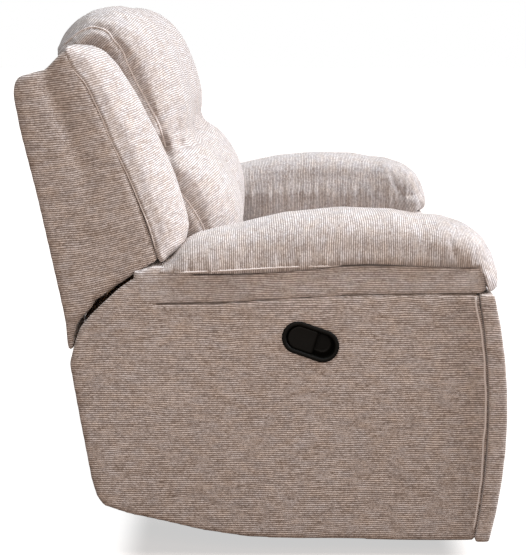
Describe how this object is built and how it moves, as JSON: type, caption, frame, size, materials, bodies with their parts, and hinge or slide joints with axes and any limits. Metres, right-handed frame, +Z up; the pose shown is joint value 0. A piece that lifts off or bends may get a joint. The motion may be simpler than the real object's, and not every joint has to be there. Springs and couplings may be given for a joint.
{
  "type": "reclining sofa",
  "caption": "Upholstered two seat reclining sofa with padded arms, pull handles in the arms, hinged backs and fold-out footrests.",
  "frame": {"origin": "middle of the floor area under the closed sofa, at floor level", "axes": "+X to the sitter's left, front towards -Y, +Z up"},
  "size_m": [1.52, 0.934, 1.058],
  "materials": {
    "cushion_chenille": "soft striated chenille, light beige",
    "panel_chenille": "flat striated chenille, taupe",
    "plywood": "sanded plywood",
    "black_steel": "satin black",
    "spring_wire": "bright drawn wire",
    "black_plastic": "semi-gloss black",
    "cable_sleeve": "matt black"
  },
  "bodies": {
    "root": {"arm_side_panel_right": "panel_chenille", "arm_core_right": "plywood", "arm_inner_panel_right": "cushion_chenille", "arm_border_right": "cushion_chenille", "arm_pad_right": "cushion_chenille", "arm_facing_right": "panel_chenille", "handle_cup_right": "black_plastic", "release_cable_right": "cable_sleeve", "arm_side_panel_left": "panel_chenille", "arm_core_left": "plywood", "arm_inner_panel_left": "cushion_chenille", "arm_border_left": "cushion_chenille", "arm_pad_left": "cushion_chenille", "arm_facing_left": "panel_chenille", "handle_cup_left": "black_plastic", "release_cable_left": "cable_sleeve", "base_frame": "black_steel", "rear_apron": "panel_chenille"},
    "seat_right": {"seat_frame_right": "plywood", "seat_front_rail_right": "cushion_chenille", "seat_springs_right": "spring_wire", "seat_cushion_right": "cushion_chenille", "mechanism_plate_outer_right": "black_steel", "mechanism_plate_inner_right": "black_steel", "mechanism_cross_tube_right": "black_steel"},
    "rear_links_right": {"footrest_rear_links_right": "black_steel"},
    "cross_links_right": {"footrest_cross_links_right": "black_steel"},
    "short_links_right": {"footrest_short_links_right": "black_steel"},
    "front_links_right": {"footrest_front_links_right": "black_steel"},
    "ottoman_right": {"ottoman_brackets_right": "black_steel", "ottoman_board_right": "plywood", "ottoman_pad_right": "cushion_chenille"},
    "back_right": {"back_frame_right": "plywood", "back_rear_panel_right": "panel_chenille", "back_wing_right": "panel_chenille", "wing_bolster_right": "cushion_chenille", "head_cushion_right": "cushion_chenille", "lumbar_cushion_right": "cushion_chenille"},
    "paddle_right": {"handle_paddle_right": "black_plastic"},
    "seat_left": {"seat_frame_left": "plywood", "seat_front_rail_left": "cushion_chenille", "seat_springs_left": "spring_wire", "seat_cushion_left": "cushion_chenille", "mechanism_plate_outer_left": "black_steel", "mechanism_plate_inner_left": "black_steel", "mechanism_cross_tube_left": "black_steel"},
    "rear_links_left": {"footrest_rear_links_left": "black_steel"},
    "cross_links_left": {"footrest_cross_links_left": "black_steel"},
    "short_links_left": {"footrest_short_links_left": "black_steel"},
    "front_links_left": {"footrest_front_links_left": "black_steel"},
    "ottoman_left": {"ottoman_brackets_left": "black_steel", "ottoman_board_left": "plywood", "ottoman_pad_left": "cushion_chenille"},
    "back_left": {"back_frame_left": "plywood", "back_rear_panel_left": "panel_chenille", "back_wing_left": "panel_chenille", "wing_bolster_left": "cushion_chenille", "head_cushion_left": "cushion_chenille", "lumbar_cushion_left": "cushion_chenille"},
    "paddle_left": {"handle_paddle_left": "black_plastic"}
  },
  "joints": [
    {"name": "back_recline_right", "type": "hinge", "parent": "root", "child": "back_right", "pos_m": [-0.27, 0.258, 0.27], "axis": [-1, 0, 0], "range_deg": [0, 30]},
    {"name": "seat_slide_right", "type": "slide", "parent": "root", "child": "seat_right", "axis": [0, -1, 0], "range_m": [0, 0.06]},
    {"name": "footrest_open_right", "type": "hinge", "parent": "seat_right", "child": "rear_links_right", "pos_m": [-0.27, -0.2365, 0.312], "axis": [-1, 0, 0], "range_deg": [0, 72]},
    {"name": "cross_link_pivot_right", "type": "hinge", "parent": "rear_links_right", "child": "cross_links_right", "pos_m": [-0.27, -0.26613, 0.17261], "axis": [-1, 0, 0], "range_deg": [-118.1, 0]},
    {"name": "short_link_pivot_right", "type": "hinge", "parent": "rear_links_right", "child": "short_links_right", "pos_m": [-0.27, -0.29575, 0.03323], "axis": [-1, 0, 0], "range_deg": [-118.1, 0]},
    {"name": "front_link_pivot_right", "type": "hinge", "parent": "cross_links_right", "child": "front_links_right", "pos_m": [-0.27, -0.29575, 0.312], "axis": [-1, 0, 0], "range_deg": [0, 118.1]},
    {"name": "ottoman_pivot_right", "type": "hinge", "parent": "front_links_right", "child": "ottoman_right", "pos_m": [-0.27, -0.35501, 0.03323], "axis": [-1, 0, 0], "range_deg": [0, 18.1]},
    {"name": "handle_pull_right", "type": "hinge", "parent": "root", "child": "paddle_right", "pos_m": [-0.7423, -0.05343, 0.43595], "axis": [0, 0.3338, -0.9426], "range_deg": [0, 25], "stiffness_Nm_per_rad": 0.6},
    {"name": "back_recline_left", "type": "hinge", "parent": "root", "child": "back_left", "pos_m": [0.27, 0.258, 0.27], "axis": [-1, 0, 0], "range_deg": [0, 30]},
    {"name": "seat_slide_left", "type": "slide", "parent": "root", "child": "seat_left", "axis": [0, -1, 0], "range_m": [0, 0.06]},
    {"name": "footrest_open_left", "type": "hinge", "parent": "seat_left", "child": "rear_links_left", "pos_m": [0.27, -0.2365, 0.312], "axis": [-1, 0, 0], "range_deg": [0, 72]},
    {"name": "cross_link_pivot_left", "type": "hinge", "parent": "rear_links_left", "child": "cross_links_left", "pos_m": [0.27, -0.26613, 0.17261], "axis": [-1, 0, 0], "range_deg": [-118.1, 0]},
    {"name": "short_link_pivot_left", "type": "hinge", "parent": "rear_links_left", "child": "short_links_left", "pos_m": [0.27, -0.29575, 0.03323], "axis": [-1, 0, 0], "range_deg": [-118.1, 0]},
    {"name": "front_link_pivot_left", "type": "hinge", "parent": "cross_links_left", "child": "front_links_left", "pos_m": [0.27, -0.29575, 0.312], "axis": [-1, 0, 0], "range_deg": [0, 118.1]},
    {"name": "ottoman_pivot_left", "type": "hinge", "parent": "front_links_left", "child": "ottoman_left", "pos_m": [0.27, -0.35501, 0.03323], "axis": [-1, 0, 0], "range_deg": [0, 18.1]},
    {"name": "handle_pull_left", "type": "hinge", "parent": "root", "child": "paddle_left", "pos_m": [0.7423, -0.05343, 0.43595], "axis": [0, -0.3338, 0.9426], "range_deg": [0, 25], "stiffness_Nm_per_rad": 0.6}
  ],
  "couplings": [
    {"joint": "seat_slide_right", "follows": "back_recline_right", "m_per_rad": 0.11459},
    {"joint": "cross_link_pivot_right", "follows": "footrest_open_right", "ratio": -1.6389},
    {"joint": "short_link_pivot_right", "follows": "footrest_open_right", "ratio": -1.6389},
    {"joint": "front_link_pivot_right", "follows": "footrest_open_right", "ratio": 1.6389},
    {"joint": "ottoman_pivot_right", "follows": "footrest_open_right", "ratio": 0.25},
    {"joint": "seat_slide_left", "follows": "back_recline_left", "m_per_rad": 0.11459},
    {"joint": "cross_link_pivot_left", "follows": "footrest_open_left", "ratio": -1.6389},
    {"joint": "short_link_pivot_left", "follows": "footrest_open_left", "ratio": -1.6389},
    {"joint": "front_link_pivot_left", "follows": "footrest_open_left", "ratio": 1.6389},
    {"joint": "ottoman_pivot_left", "follows": "footrest_open_left", "ratio": 0.25}
  ]
}
